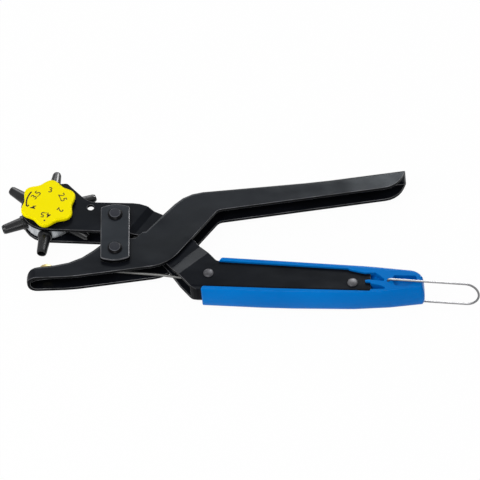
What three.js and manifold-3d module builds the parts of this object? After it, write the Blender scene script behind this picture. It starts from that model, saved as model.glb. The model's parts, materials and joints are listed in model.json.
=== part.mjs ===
// Revolving punch pliers, lying on their side on a bench. Millimetres, Z up.
// X runs from the jaws to the handles, and Y from the lower jaw to the upper jaw.
// The origin is on the lower pivot's axis, where the head of its rivet rests on the bench.
// The jaws are drawn open. Both levers turn about their own pivots by the closing angle.
import * as THREE from 'three';
import { mergeVertices } from 'three/addons/utils/BufferGeometryUtils.js';
import Module from 'manifold-3d';

const wasm = await Module();
wasm.setup();

const runningGap = 0.3; // between pieces that move past each other
const seatGap = 0.2; // between pieces that are fixed to each other
const overrun = 6; // how far a cutter reaches past what it cuts
const closingDegrees = 6.9; // each lever's turn from open to closed
const arcStepDegrees = 15; // longest step along a rounded corner

// Both levers are folded from the same sheet, into channels of one width.
const steel = { sheet: 2.2, width: 13.8, bend: 2.6 };

const pivot = {
  spacing: 24.7,
  shankRadius: 3.2,
  headRadius: 4.3,
  headFaceRadius: 3.25,
  headHeight: 1.8,
  headChamfer: 1.3,
  sleeveRadius: 5,
};

const link = {
  width: 17.3,
  overhang: 8.2, // above the upper pivot
  tailOverhang: 9.2, // below the lower pivot
  thickness: 3.3,
  shoulder: 3.2,
  endRadius: 17,
  cornerRadius: 1.5,
  chamfer: 0.35,
};

const turret = {
  axleReach: 39.9, // from the upper pivot, towards the jaws
  axleRise: 10.1, // above the upper pivot
  plateRadius: 16.4, // round end of the lever's plates
  hubRadius: 15.4,
  hubChamfer: 0.5,
  bossRadius: 12.4,
  cavityRadius: 10.4,
  floor: 2.8,
  stemRadius: 4.6,
  grooveDepth: 0.8,
  stubLip: 0.6,
  closedDegrees: 268.3, // heading of the tube that meets the anvil, with the tool closed
};

const tube = {
  tipReach: 29.5, // from the turret's axle to the cutting edge
  collarRadius: 4.4,
  collarLength: 1.9,
  neckRadius: 3.7,
  shankRadius: 2.9,
  edgeWall: 0.5,
  bevelLength: 1.2,
  taperShare: 0.67, // of the way from the neck's radius to the edge's, where the bevel starts
  bores: [4.5, 2, 2.5, 3, 3.5, 4], // counterclockwise from the tube that points at the anvil
};

const detent = { ballRadius: 1.3, pocketRadius: 1.5, pocketDepth: 6, wire: 0.35, dimpleDepth: 0.7 };
const ring = { width: 2.9, thickness: 1.1, openingDegrees: 70 };

const cap = {
  radius: 15.6,
  lobe: 1.3,
  thickness: 2.8,
  edge: 0.8,
  lift: 1.3, // from the lever's plate to the underside of the cap
  spigotWall: 1.2,
  spigotDepth: 3,
};

const anvil = { radius: 4, height: 2.7, chamfer: 0.5, shankRadius: 2.2, rivetRadius: 3.2, rivetHeight: 1 };
const punchGap = 0.3; // left between the tube and the anvil when the jaws are closed

const lowerJaw = {
  ahead: 11.6, // from the anvil's axis to the nose
  height: 8.2,
  noseRadius: 7.2, // seen from the side
  noseTurn: 6, // seen from above, where the sheet turns round the nose
  chinRadius: 1.6,
  chinRun: 26.4,
  chinBlend: 60,
  throatRun: 18.3,
  throatRadius: 40,
};

// Corners of the upper handle: places along its reach and rise, and radius as a share of its rise.
const upperHandle = {
  reach: 172.2,
  rise: 53.2,
  heelShares: [0.181, -0.192, 0.43],
  undersideShares: [0.352, 0.53, 0.094],
  endShares: [0.972, 0.775, 0.25],
  tipShares: [1, 1, 0.015],
  backShares: [0.697, 0.889, 5.6],
  shoulderShares: [0.241, 0.793, 0.47],
};

// Corners where the levers cross, and their radii, as shares of the distance between the pivots.
const crossing = {
  lowerBackShares: [0.482, 0.385, 0.04],
  lowerLedgeShares: [-0.231, 0.385, 0.12],
  upperLobeStartShares: [-0.243, 0.6215, 0.03],
  upperLobeLeftShares: [-0.186, 0.47, 0.03],
  upperLobeRightShares: [0.186, 0.47, 0.03],
  upperLobeEndShares: [0.227, 0.575, 0.02],
  upperArmpitShares: [0.534, 0.563, 0.12],
  upperOutsideShares: [1.328, 1.02, 1.21],
  upperTopShares: [0.587, 1.421, 0.81],
  upperHornFootShares: [-0.664, 1.51, 0.4656],
  windowShare: 1.18, // length of the slot that lets one lever through the other
};

// Corners of the lower handle: places along its reach and drop, and radius as a share of its drop.
const lowerHandle = {
  reach: 150.7,
  drop: 35.6,
  kneeShares: [0.303, -0.798, 0.25],
  bellyShares: [0.63, -0.915, 11],
  endLowShares: [1, -1.035, 0.03],
  endHighShares: [1, -0.562, 0.04],
  frontShares: [0.398, -0.256, 0.085],
};

const horn = { reachShare: 1.226, degrees: 56.9, radius: 2.4, tangentDegrees: 92.2, undersideDegrees: 264.8 };
const syncTooth = { radius: 2.4, clearance: 0.45, neck: 4 };

// The upper lever's plates step inwards to pass between the lower lever's plates, and out again.
const inwardStep = { placeShares: [0.549, 0.984], degrees: -34.8, run: 4 };
const outwardStep = { placeShares: [1.63, -0.194], degrees: -50, run: 8.2 };

const drilledHole = { radius: 2, placeShares: [-0.603, 1.348] };

const handleRivet = { shankRadius: 2, headRadius: 3.1, headHeight: 1.4, sleeveRadius: 3.1 };
const handleRivetShares = { front: [0.3656, -0.511], rear: [0.9297, -0.812] };

const spring = {
  wireRadius: 0.8,
  coilRadius: 7,
  turns: 3,
  pitch: 2.15,
  legFallDegrees: 11.2, // by which the long leg falls towards the handle
  legInset: 0.9, // how far the long leg runs from the middle plane
  insetShare: 0.55, // of the long leg's length, over which it comes inwards
  eyeReachShare: 2.2, // of the eye's radius, where the long leg turns into the eye
  eyeStartDegrees: 160,
  eyeDegrees: 300,
  tail: 3.4,
  stepsPerTurn: 8,
  sides: 5,
  nearbyShare: 8, // of the wire's radius, up to which points along the wire are neighbours
};

const grip = {
  width: 17.2,
  edge: 1.4,
  clearance: 0.25,
  roof: 2,
  roofSetback: 2.7, // of the roof's front end behind the steel's corner
  upperLip: 1,
  lowerLip: 0.5,
  block: 31.5, // solid end behind the steel
  crown: 1.8, // by which the underside and the tail curve back towards the sides
  crownWidth: 8, // over which they do
  floorStart: 3.8, // how far the underside starts ahead of the lever's knee
  floorThicknessShares: [0.081, 0.093, 0.06],
  tailRadius: 9,
  tailLowRadius: 2.4,
  tailHighShare: -0.65,
  tailLowShare: -1.02,
  pocketDepth: 3.2,
  slotDepth: 4.6,
};
// Pockets in the end of the grip: along the block from the steel's end, and down the handle's drop.
const gripPocketShares = {
  upper: [[-0.16, -0.645], [0.093, -0.649], [0.257, -0.781], [0.257, -0.831], [-0.034, -0.788], [-0.16, -0.77]],
  lower: [[-0.16, -0.845], [-0.053, -0.853], [0.186, -0.915], [0.331, -0.99], [-0.16, -0.985]],
  bail: [[0.39, -0.80], [0.45, -0.72], [0.855, -0.745], [0.875, -0.865], [0.66, -0.957], [0.46, -0.925]],
};

// Lips of the grip that reach over the end of the steel, measured in the same way.
const gripLipShares = {
  upper: [[-0.416, -0.45], [0.02, -0.45], [0.02, -0.68], [-0.39, -0.57], [-0.416, -0.545]],
  middle: [[-0.1, -0.798], [0.02, -0.785], [0.02, -0.848], [-0.1, -0.82]],
};

const bail = {
  wireRadius: 0.65,
  sides: 8,
  hookShares: [0.333, -0.823], // along the grip's block, and down the handle's drop
  hookDepth: 4.4,
  hookBend: 1.3,
  legLength: 46,
  legFallDegrees: 7.6,
  bow: 7.7,
  bowShare: 0.12, // of the loop's half width, where the bow starts to round
  holeClearance: 0.3,
  sideClearance: 0.65,
  bendSteps: 5,
};

const colour = {
  blackSteel: 0x2c2d31,
  linkSteel: 0x3c3f42,
  rivetSteel: 0x4a4c55,
  tubeSteel: 0x3a3b3d,
  castMetal: 0x9aa0a4,
  brass: 0xd8c184,
  yellow: 0xf5e400,
  blue: 0x0079c4,
  wire: 0xc8c8ca,
  springSteel: 0x55585a,
  sleeveSteel: 0x8a8e92,
};

// Levels, measured from the middle plane of the tool.
const outerLevel = steel.width / 2;
const outerInside = outerLevel - steel.sheet;
const innerLevel = outerInside - runningGap;
const linkInside = outerLevel + runningGap;
const linkOutside = linkInside + link.thickness;
const headUnderside = linkOutside + seatGap;
const headTop = headUnderside + pivot.headHeight;
const hubHalf = outerInside - runningGap;
const gripHalf = grip.width / 2;
const capUnderside = outerLevel + cap.lift + runningGap;
const stubEnd = outerLevel + seatGap + ring.thickness + seatGap + turret.stubLip;

// Small helpers on plane points, written as [x, y].
const radians = THREE.MathUtils.degToRad;
const heading = (degrees) => [Math.cos(radians(degrees)), Math.sin(radians(degrees))];
const shift = ([x, y], [dx, dy], distance = 1) => [x + dx * distance, y + dy * distance];
const placed = ([x, y], width, height) => [x * width, y * height];
const turned = ([x, y], [cx, cy], degrees) => {
  const [c, s] = heading(degrees);
  return [cx + (x - cx) * c - (y - cy) * s, cy + (x - cx) * s + (y - cy) * c];
};

const lowerPivot = [0, 0];
const upperPivot = [0, pivot.spacing];
const axle = [-turret.axleReach, pivot.spacing + turret.axleRise];
const closedAxle = turned(axle, upperPivot, closingDegrees);

// The tube that points at the anvil leans so that it meets the closed lower jaw squarely.
const tubeStep = 360 / tube.bores.length;
const tubeDegrees = turret.closedDegrees - closingDegrees;
const closedTip = shift(closedAxle, heading(turret.closedDegrees), tube.tipReach);
const anvilDegrees = turret.closedDegrees + closingDegrees;
const anvilTop = shift(turned(closedTip, lowerPivot, closingDegrees), heading(anvilDegrees), punchGap);
const anvilSeat = shift(anvilTop, heading(anvilDegrees), anvil.height);

// The detent's ball and the dimples that it meets lie on one circle, in the hub's wall.
const pocketCircle = (turret.hubRadius + turret.cavityRadius) / 2;
const detentPlace = shift(axle, heading(tubeDegrees + tubeStep / 2), pocketCircle);

// Outlines. A corner is { at: [x, y], radius, folded }, where folded says that the edge after it
// is a fold of the sheet and not a cut edge.
const corner = (at, radius, folded = false) => ({ at, radius, folded });
const shareCorner = ([x, y, radius], width, height, folded) =>
  corner(placed([x, y], width, height), radius * height, folded);
const crossingCorner = (shares, folded) => shareCorner(shares, pivot.spacing, pivot.spacing, folded);

function arcPoints(centre, radius, fromDegrees, toDegrees) {
  const steps = Math.max(2, Math.ceil(Math.abs(toDegrees - fromDegrees) / arcStepDegrees));
  return Array.from({ length: steps + 1 }, (_, i) =>
    shift(centre, heading(fromDegrees + ((toDegrees - fromDegrees) * i) / steps), radius));
}

const unit = ([ax, ay], [bx, by]) => {
  const length = Math.hypot(bx - ax, by - ay);
  return [(bx - ax) / length, (by - ay) / length];
};
const crossProduct = ([ax, ay], [bx, by]) => ax * by - ay * bx;
const dotProduct = ([ax, ay], [bx, by]) => ax * bx + ay * by;

// The points of an outline, with an arc at each corner that has a radius.
function outlinePoints(corners) {
  const points = [];
  corners.forEach(({ at, radius }, i) => {
    const into = unit(corners.at(i - 1).at, at);
    const out = unit(at, corners[(i + 1) % corners.length].at);
    const turn = Math.atan2(crossProduct(into, out), dotProduct(into, out));
    if (radius <= 0 || Math.abs(turn) < radians(0.5)) {
      points.push(at);
      return;
    }
    const side = Math.sign(turn);
    const start = shift(at, into, -radius * Math.tan(Math.abs(turn) / 2));
    const centre = shift(start, [-into[1] * side, into[0] * side], radius);
    const steps = Math.max(1, Math.ceil(Math.abs(turn) / radians(arcStepDegrees)));
    for (let step = 0; step <= steps; step += 1) {
      points.push(turned(start, centre, THREE.MathUtils.radToDeg((turn * step) / steps)));
    }
  });
  return points;
}

// The same outline with every edge moved inwards by its own distance.
function shiftedCorners(corners, distanceOf) {
  return corners.map((here, i) => {
    const before = corners.at(i - 1);
    const after = corners[(i + 1) % corners.length];
    const into = unit(before.at, here.at);
    const out = unit(here.at, after.at);
    const moveInto = distanceOf(before);
    const moveOut = distanceOf(here);
    const turn = crossProduct(into, out);
    const same = moveInto === moveOut && Math.abs(moveInto) < here.radius;
    const kept = Math.min(moveInto, moveOut) >= 0 ? here.radius : 0;
    const radius = same ? here.radius - Math.sign(turn) * moveInto : kept;
    if (Math.abs(turn) < Math.sin(radians(0.5))) {
      return { ...here, at: shift(here.at, [-out[1], out[0]], moveOut) };
    }
    const start = shift(here.at, [-into[1], into[0]], moveInto);
    const target = shift(here.at, [-out[1], out[0]], moveOut);
    const along = crossProduct([target[0] - start[0], target[1] - start[1]], out) / turn;
    return { ...here, at: shift(start, into, along), radius };
  });
}

// Solids.
function solidFrom(geometry) {
  const plain = geometry.clone();
  plain.deleteAttribute('normal');
  plain.deleteAttribute('uv');
  const merged = mergeVertices(plain);
  const index = merged.index.array;
  const triangles = [];
  for (let i = 0; i < index.length; i += 3) {
    const [a, b, c] = [index[i], index[i + 1], index[i + 2]];
    if (a !== b && b !== c && c !== a) triangles.push(a, b, c);
  }
  return new wasm.Manifold(new wasm.Mesh({
    numProp: 3,
    vertProperties: new Float32Array(merged.attributes.position.array),
    triVerts: new Uint32Array(triangles),
  }));
}

function geometryFrom(solid) {
  const { vertProperties, triVerts } = solid.getMesh();
  const geometry = new THREE.BufferGeometry();
  geometry.setAttribute('position', new THREE.BufferAttribute(new Float32Array(vertProperties), 3));
  geometry.setIndex(new THREE.BufferAttribute(new Uint32Array(triVerts), 1));
  geometry.computeVertexNormals();
  return geometry;
}

const shapeOf = (points) => new THREE.Shape(points.map(([x, y]) => new THREE.Vector2(x, y)));

function prism(points, bottom, top) {
  const geometry = new THREE.ExtrudeGeometry(shapeOf(points), { depth: top - bottom, bevelEnabled: false });
  return solidFrom(geometry.translate(0, 0, bottom));
}

// A prism whose sides curve inwards by the inset over the last stretch before each end.
function roundedPrism(points, bottom, top, edge, segments, inset = edge) {
  const geometry = new THREE.ExtrudeGeometry(shapeOf(points), {
    depth: top - bottom - 2 * edge,
    bevelThickness: edge,
    bevelSize: inset,
    bevelOffset: -inset,
    bevelSegments: segments,
  });
  return solidFrom(geometry.translate(0, 0, bottom + edge));
}

function round([x, y], radius, bottom, top, segments = 24) {
  const geometry = new THREE.CylinderGeometry(radius, radius, top - bottom, segments);
  return solidFrom(geometry.rotateX(Math.PI / 2).translate(x, y, (top + bottom) / 2));
}

// A solid of revolution about the Z axis through a place; the profile lists [radius, height].
function revolved([x, y], profile, segments) {
  const points = profile.map(([radius, height]) => new THREE.Vector2(radius, height));
  const geometry = new THREE.LatheGeometry(points, segments);
  return solidFrom(geometry.rotateX(Math.PI / 2).translate(x, y, 0));
}

// A profile of [distance, height] drawn along a direction in the XY plane and extruded across it.
function ramp(origin, degrees, profile, reach) {
  const [dx, dy] = heading(degrees);
  const geometry = new THREE.ExtrudeGeometry(shapeOf(profile), { depth: 2 * reach, bevelEnabled: false });
  geometry.translate(0, 0, -reach);
  const frame = new THREE.Matrix4().makeBasis(
    new THREE.Vector3(dx, dy, 0),
    new THREE.Vector3(0, 0, 1),
    new THREE.Vector3(dy, -dx, 0),
  );
  return solidFrom(geometry.applyMatrix4(frame).translate(origin[0], origin[1], 0));
}

const mirrored = (solid) => solid.mirror([0, 0, 1]);

// A channel folded from sheet: rounded where the sheet is folded, and open at its cut edges.
function channel(corners) {
  const blank = prism(outlinePoints(corners), -outerLevel, outerLevel);
  const folds = shiftedCorners(corners, (edge) => (edge.folded ? 0 : -overrun));
  const inside = shiftedCorners(corners, (edge) => (edge.folded ? steel.sheet : -overrun));
  const body = blank.intersect(roundedPrism(outlinePoints(folds), -outerLevel, outerLevel, steel.bend, 3));
  return { body, inside: outlinePoints(inside) };
}

// Lower jaw and upper handle, one folded channel open at its underside.
function lowerLeverCorners() {
  const along = heading(anvilDegrees + 90);
  const noseTop = shift(anvilSeat, along, -lowerJaw.ahead);
  const chin = shift(noseTop, [0, -1], lowerJaw.height);
  const handleCorner = (shares, folded) =>
    shareCorner(shares, upperHandle.reach, upperHandle.rise, folded);
  return [
    corner(chin, lowerJaw.chinRadius),
    corner(shift(chin, [1, 0], lowerJaw.chinRun), lowerJaw.chinBlend),
    handleCorner(upperHandle.heelShares),
    handleCorner(upperHandle.undersideShares),
    handleCorner(upperHandle.endShares),
    handleCorner(upperHandle.tipShares, true),
    handleCorner(upperHandle.backShares, true),
    handleCorner(upperHandle.shoulderShares, true),
    crossingCorner(crossing.lowerBackShares),
    crossingCorner(crossing.lowerLedgeShares, true),
    corner(shift(anvilSeat, along, lowerJaw.throatRun), lowerJaw.throatRadius, true),
    corner(noseTop, lowerJaw.noseRadius, true),
  ];
}

// A solid whose front end is rounded as seen from above, from its nose to its sides at a level.
function roundedNose(solid, nose, level, radius) {
  const outside = level + overrun;
  const spandrel = prism([
    [nose - overrun, level - radius],
    ...arcPoints([nose + radius, level - radius], radius, 180, 90),
    [nose + radius, outside], [nose - overrun, outside],
  ], -upperHandle.rise, upperHandle.rise).rotate([90, 0, 0]);
  return solid.subtract(spandrel).subtract(mirrored(spandrel));
}

function lowerLever() {
  const corners = lowerLeverCorners();
  const { body, inside } = channel(corners);
  const back = crossingCorner(crossing.lowerBackShares).at;
  const along = unit(back, shareCorner(upperHandle.shoulderShares, upperHandle.reach, upperHandle.rise).at);
  const slotEnd = shift(back, along, crossing.windowShare * pivot.spacing);
  const across = [-along[1] * overrun, along[0] * overrun];
  const slotStart = shift(back, along, -overrun);
  const slot = [
    shift(slotStart, across, -1), shift(slotEnd, across, -1), shift(slotEnd, across), shift(slotStart, across),
  ];
  const linkEdge = -link.width / 2 - runningGap;
  const ledge = crossingCorner(crossing.lowerLedgeShares).at[1];
  const relief = [
    [linkEdge, ledge - overrun], [back[0], ledge - overrun], [back[0], ledge + overrun], [linkEdge, ledge + overrun],
  ];
  const toothCentre = [0, pivot.spacing / 2];
  const toothFoot = [
    [-syncTooth.neck / 2, ledge - steel.sheet], [syncTooth.neck / 2, ledge - steel.sheet],
    [syncTooth.neck / 2, toothCentre[1]], [-syncTooth.neck / 2, toothCentre[1]],
  ];
  const nose = shift(anvilSeat, heading(anvilDegrees + 90), -lowerJaw.ahead)[0];
  let lever = roundedNose(body, nose, outerLevel, lowerJaw.noseTurn)
    .add(round(toothCentre, syncTooth.radius, -outerLevel, outerLevel))
    .add(prism(toothFoot, -outerLevel, outerLevel));
  const hollow = prism(inside, -outerInside, outerInside);
  const innerTurn = lowerJaw.noseTurn - steel.sheet;
  lever = lever.subtract(roundedNose(hollow, nose + steel.sheet, outerInside, innerTurn));
  for (const cut of [slot, relief]) lever = lever.subtract(prism(cut, -outerInside, outerInside));
  const anvilHole = radialSolid(anvilSeat, anvilDegrees, [
    [0, -overrun], [anvil.shankRadius + seatGap, -overrun],
    [anvil.shankRadius + seatGap, overrun], [0, overrun],
  ], 20);
  return lever
    .subtract(round(lowerPivot, pivot.shankRadius + runningGap, -headTop, headTop))
    .subtract(anvilHole);
}

// A solid of revolution whose axis lies in the XY plane, from an origin towards a direction.
function radialSolid([x, y], degrees, profile, segments) {
  const points = profile.map(([radius, distance]) => new THREE.Vector2(radius, distance));
  const geometry = new THREE.LatheGeometry(points, segments);
  geometry.rotateZ(radians(degrees - 90));
  return solidFrom(geometry.translate(x, y, 0));
}

function anvilDisc() {
  const underWeb = steel.sheet + seatGap;
  return radialSolid(anvilSeat, anvilDegrees, [
    [0, -anvil.height],
    [anvil.radius - anvil.chamfer, -anvil.height],
    [anvil.radius, anvil.chamfer - anvil.height],
    [anvil.radius, -seatGap],
    [anvil.shankRadius, -seatGap],
    [anvil.shankRadius, underWeb],
    [anvil.rivetRadius, underWeb],
    [anvil.rivetRadius - anvil.chamfer, underWeb + anvil.rivetHeight],
    [0, underWeb + anvil.rivetHeight],
  ], 24);
}

// Upper jaw and lower handle, one folded piece whose plates step in between the other lever's plates.
const lowerHandleCorner = (shares, folded) =>
  shareCorner(shares, lowerHandle.reach, lowerHandle.drop, folded);

function upperLeverCorners() {
  const end = arcPoints(axle, turret.plateRadius, horn.tangentDegrees, horn.undersideDegrees);
  return [
    ...end.map((point) => corner(point, 0)),
    crossingCorner(crossing.upperLobeStartShares),
    crossingCorner(crossing.upperLobeLeftShares),
    crossingCorner(crossing.upperLobeRightShares),
    crossingCorner(crossing.upperLobeEndShares),
    crossingCorner(crossing.upperArmpitShares),
    lowerHandleCorner(lowerHandle.kneeShares, true),
    lowerHandleCorner(lowerHandle.bellyShares, true),
    lowerHandleCorner(lowerHandle.endLowShares),
    lowerHandleCorner(lowerHandle.endHighShares),
    lowerHandleCorner(lowerHandle.frontShares),
    crossingCorner(crossing.upperOutsideShares),
    crossingCorner(crossing.upperTopShares),
    crossingCorner(crossing.upperHornFootShares),
    corner(shift(axle, heading(horn.degrees), horn.reachShare * turret.plateRadius), horn.radius),
  ];
}

// What is above the stepped outside of the near plate, and what is between the stepped plates.
function steppedCutters() {
  const inward = placed(inwardStep.placeShares, pivot.spacing, pivot.spacing);
  const outward = placed(outwardStep.placeShares, pivot.spacing, pivot.spacing);
  const reach = lowerHandle.reach;
  const depth = outerLevel - innerLevel;
  const inSlope = depth / inwardStep.run;
  const outSlope = depth / outwardStep.run;
  const above = ramp(inward, inwardStep.degrees, [
    [-overrun, outerLevel + inSlope * overrun],
    [inwardStep.run, innerLevel],
    [reach, innerLevel],
    [reach, outerLevel + inSlope * overrun],
  ], reach).intersect(ramp(outward, outwardStep.degrees, [
    [-reach, innerLevel - outSlope * overrun],
    [-overrun, innerLevel - outSlope * overrun],
    [outwardStep.run + overrun, outerLevel + outSlope * overrun],
    [-reach, outerLevel + outSlope * overrun],
  ], reach));
  const innerHalf = innerLevel - steel.sheet;
  const inEnd = outerInside / inSlope;
  const outEnd = outwardStep.run - outerInside / outSlope;
  const between = ramp(inward, inwardStep.degrees, [
    [-reach, -outerInside], [0, -outerInside], [inEnd, 0], [0, outerInside], [-reach, outerInside],
  ], reach).add(ramp(outward, outwardStep.degrees, [
    [outEnd, 0], [outwardStep.run, -outerInside], [reach, -outerInside],
    [reach, outerInside], [outwardStep.run, outerInside],
  ], reach)).add(ramp(inward, inwardStep.degrees, [
    [-reach, -innerHalf], [reach, -innerHalf], [reach, innerHalf], [-reach, innerHalf],
  ], reach));
  return { above, between };
}

const rivetPlaces = Object.fromEntries(Object.entries(handleRivetShares).map(([name, shares]) =>
  [name, placed(shares, lowerHandle.reach, lowerHandle.drop)]));

function upperLever() {
  const { body, inside } = channel(upperLeverCorners());
  const { above, between } = steppedCutters();
  let lever = body.subtract(above).subtract(mirrored(above));
  lever = lever.subtract(between.intersect(prism(inside, -outerLevel, outerLevel)));
  const drilled = placed(drilledHole.placeShares, pivot.spacing, pivot.spacing);
  const holes = [
    round(upperPivot, pivot.shankRadius + runningGap, -headTop, headTop),
    round([0, pivot.spacing / 2], syncTooth.radius + syncTooth.clearance, -headTop, headTop, 32),
    round(axle, turret.bossRadius + runningGap, 0, headTop, 36),
    round(axle, turret.stemRadius + runningGap, -headTop, 0),
    round(drilled, drilledHole.radius, -headTop, headTop, 20),
    ...Object.values(rivetPlaces).map((place) =>
      round(place, handleRivet.shankRadius + seatGap, -headTop, headTop, 20)),
  ];
  for (const hole of holes) lever = lever.subtract(hole);
  return tube.bores.reduce((solid, _, i) => solid.subtract(round(
    shift(axle, heading(tubeDegrees + tubeStep * (i + 0.5)), pocketCircle),
    detent.ballRadius, -outerInside - detent.dimpleDepth, -outerInside + detent.dimpleDepth, 12,
  )), lever);
}

function linkPlate(side) {
  const halfWidth = link.width / 2;
  const low = -link.tailOverhang;
  const high = pivot.spacing + link.overhang;
  const swell = link.shoulder - link.chamfer * 2;
  const corners = [
    corner([halfWidth, low + swell], link.cornerRadius),
    corner([halfWidth, high - swell], link.cornerRadius),
    corner([0, high + link.shoulder - swell], link.endRadius),
    corner([-halfWidth, high - swell], link.cornerRadius),
    corner([-halfWidth, low + swell], link.cornerRadius),
    corner([0, low - link.shoulder + swell], link.endRadius),
  ];
  const plate = roundedPrism(outlinePoints(corners), linkInside, linkOutside, link.chamfer, 1)
    .subtract(round(lowerPivot, pivot.shankRadius + seatGap, 0, headTop))
    .subtract(round(upperPivot, pivot.shankRadius + seatGap, 0, headTop));
  return side > 0 ? plate : mirrored(plate);
}

function pivotRivet(place) {
  const chamferStart = headTop - pivot.headChamfer;
  return revolved(place, [
    [0, -headTop], [pivot.headFaceRadius, -headTop], [pivot.headRadius, -chamferStart],
    [pivot.headRadius, -headUnderside], [pivot.shankRadius, -headUnderside],
    [pivot.shankRadius, headUnderside], [pivot.headRadius, headUnderside],
    [pivot.headRadius, chamferStart], [pivot.headFaceRadius, headTop], [0, headTop],
  ], 28);
}

function sleeve(place, inner, outer, halfLength, segments) {
  return revolved(place, [
    [inner, -halfLength], [outer, -halfLength], [outer, halfLength], [inner, halfLength], [inner, -halfLength],
  ], segments);
}

function domedRivet(place) {
  const underside = outerLevel + seatGap;
  const crown = [90, 60, 35, 10].map((degrees) => {
    const [c, s] = heading(degrees);
    return [handleRivet.headRadius * c, underside + handleRivet.headHeight * s];
  });
  const half = [...crown, [handleRivet.headRadius, underside], [handleRivet.shankRadius, underside]];
  half[0][0] = 0;
  const lower = half.map(([radius, height]) => [radius, -height]);
  return revolved(place, [...lower, ...half.reverse()], 24);
}

// Turret: a hollow hub with screwed tubes, held by a ring behind the far plate.
function hub() {
  const { hubRadius, hubChamfer, bossRadius, cavityRadius, floor, stemRadius, grooveDepth } = turret;
  const grooveStart = outerLevel + seatGap / 2;
  const grooveEnd = stubEnd - turret.stubLip;
  const bossTop = capUnderside - runningGap;
  const body = revolved(axle, [
    [0, -stubEnd], [stemRadius, -stubEnd], [stemRadius, -grooveEnd], [stemRadius - grooveDepth, -grooveEnd],
    [stemRadius - grooveDepth, -grooveStart], [stemRadius, -grooveStart], [stemRadius, -hubHalf],
    [hubRadius - hubChamfer, -hubHalf], [hubRadius, hubChamfer - hubHalf], [hubRadius, hubHalf - hubChamfer],
    [hubRadius - hubChamfer, hubHalf], [bossRadius, hubHalf], [bossRadius, bossTop], [cavityRadius, bossTop],
    [cavityRadius, floor - hubHalf], [0, floor - hubHalf],
  ], 40);
  const bores = tube.bores.map((_, i) => radialSolid(axle, tubeDegrees + tubeStep * i, [
    [0, cavityRadius / 2], [tube.shankRadius + seatGap, cavityRadius / 2],
    [tube.shankRadius + seatGap, hubRadius + overrun], [0, hubRadius + overrun],
  ], 16));
  const pocket = round(detentPlace, detent.pocketRadius, -headTop, detent.pocketDepth - hubHalf, 12);
  return [...bores, pocket].reduce((solid, cut) => solid.subtract(cut), body);
}

function detentBall() {
  const lowest = -outerInside + seatGap;
  const geometry = new THREE.SphereGeometry(detent.ballRadius, 12, 8);
  return solidFrom(geometry.translate(detentPlace[0], detentPlace[1], lowest + detent.ballRadius));
}

function detentSpring() {
  const bottom = -outerInside + seatGap + 2 * detent.ballRadius + seatGap;
  const top = detent.pocketDepth - hubHalf - seatGap;
  const outer = detent.pocketRadius - seatGap;
  const solid = sleeve(detentPlace, outer - detent.wire, outer, (top - bottom) / 2, 12);
  return solid.translate([0, 0, (top + bottom) / 2]);
}

function retainingRing() {
  const inner = turret.stemRadius - turret.grooveDepth + seatGap;
  const outer = turret.stemRadius + ring.width;
  const half = ring.openingDegrees / 2;
  const points = [
    ...arcPoints(axle, outer, half, 360 - half),
    ...arcPoints(axle, inner, 360 - half, half),
  ];
  const top = -outerLevel - seatGap;
  return prism(points, top - ring.thickness, top);
}

function punchTube(bore, degrees) {
  const start = turret.cavityRadius;
  const seat = turret.hubRadius + seatGap;
  const edge = bore / 2 + tube.edgeWall;
  const bevel = tube.neckRadius + (edge - tube.neckRadius) * tube.taperShare;
  return radialSolid(axle, degrees, [
    [bore / 2, start], [tube.shankRadius, start], [tube.shankRadius, seat], [tube.collarRadius, seat],
    [tube.collarRadius, seat + tube.collarLength], [tube.neckRadius, seat + tube.collarLength],
    [bevel, tube.tipReach - tube.bevelLength], [edge, tube.tipReach],
    [bore / 2, tube.tipReach], [bore / 2, start],
  ], 20);
}

function wasteCap() {
  const stepsPerLobe = 10;
  const steps = tube.bores.length * stepsPerLobe;
  const points = Array.from({ length: steps }, (_, i) => {
    const degrees = (360 * i) / steps;
    const radius = cap.radius + cap.lobe * Math.cos(radians(tube.bores.length * (degrees - tubeDegrees)));
    return shift(axle, heading(degrees), radius);
  });
  const outer = turret.cavityRadius - runningGap;
  const bottom = capUnderside - cap.spigotDepth;
  const top = capUnderside + cap.thickness / 2;
  const spigot = sleeve(axle, outer - cap.spigotWall, outer, (top - bottom) / 2, 36)
    .translate([0, 0, (top + bottom) / 2]);
  return roundedPrism(points, capUnderside, capUnderside + cap.thickness, cap.edge, 2).add(spigot);
}

// A tube of constant section along a list of points, closed at both ends.
function wireGeometry(path, radius, sides, firstNormal) {
  const points = path.map(([x, y, z]) => new THREE.Vector3(x, y, z));
  const positions = [];
  const index = [];
  let normal = new THREE.Vector3(...firstNormal);
  points.forEach((point, i) => {
    const before = points[Math.max(i - 1, 0)];
    const after = points[Math.min(i + 1, points.length - 1)];
    const tangent = after.clone().sub(before).normalize();
    normal = normal.clone().addScaledVector(tangent, -normal.dot(tangent)).normalize();
    const side = tangent.clone().cross(normal);
    for (let k = 0; k < sides; k += 1) {
      const angle = (2 * Math.PI * k) / sides;
      const rim = point.clone()
        .addScaledVector(normal, radius * Math.cos(angle))
        .addScaledVector(side, radius * Math.sin(angle));
      positions.push(rim.x, rim.y, rim.z);
    }
  });
  for (let i = 0; i + 1 < points.length; i += 1) {
    for (let k = 0; k < sides; k += 1) {
      const a = i * sides + k;
      const b = i * sides + ((k + 1) % sides);
      index.push(a, b, b + sides, a, b + sides, a + sides);
    }
  }
  for (let k = 1; k + 1 < sides; k += 1) {
    const last = (points.length - 1) * sides;
    index.push(0, k + 1, k, last, last + k, last + k + 1);
  }
  const geometry = new THREE.BufferGeometry();
  geometry.setAttribute('position', new THREE.Float32BufferAttribute(positions, 3));
  geometry.setIndex(index);
  geometry.computeVertexNormals();
  return geometry;
}

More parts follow.
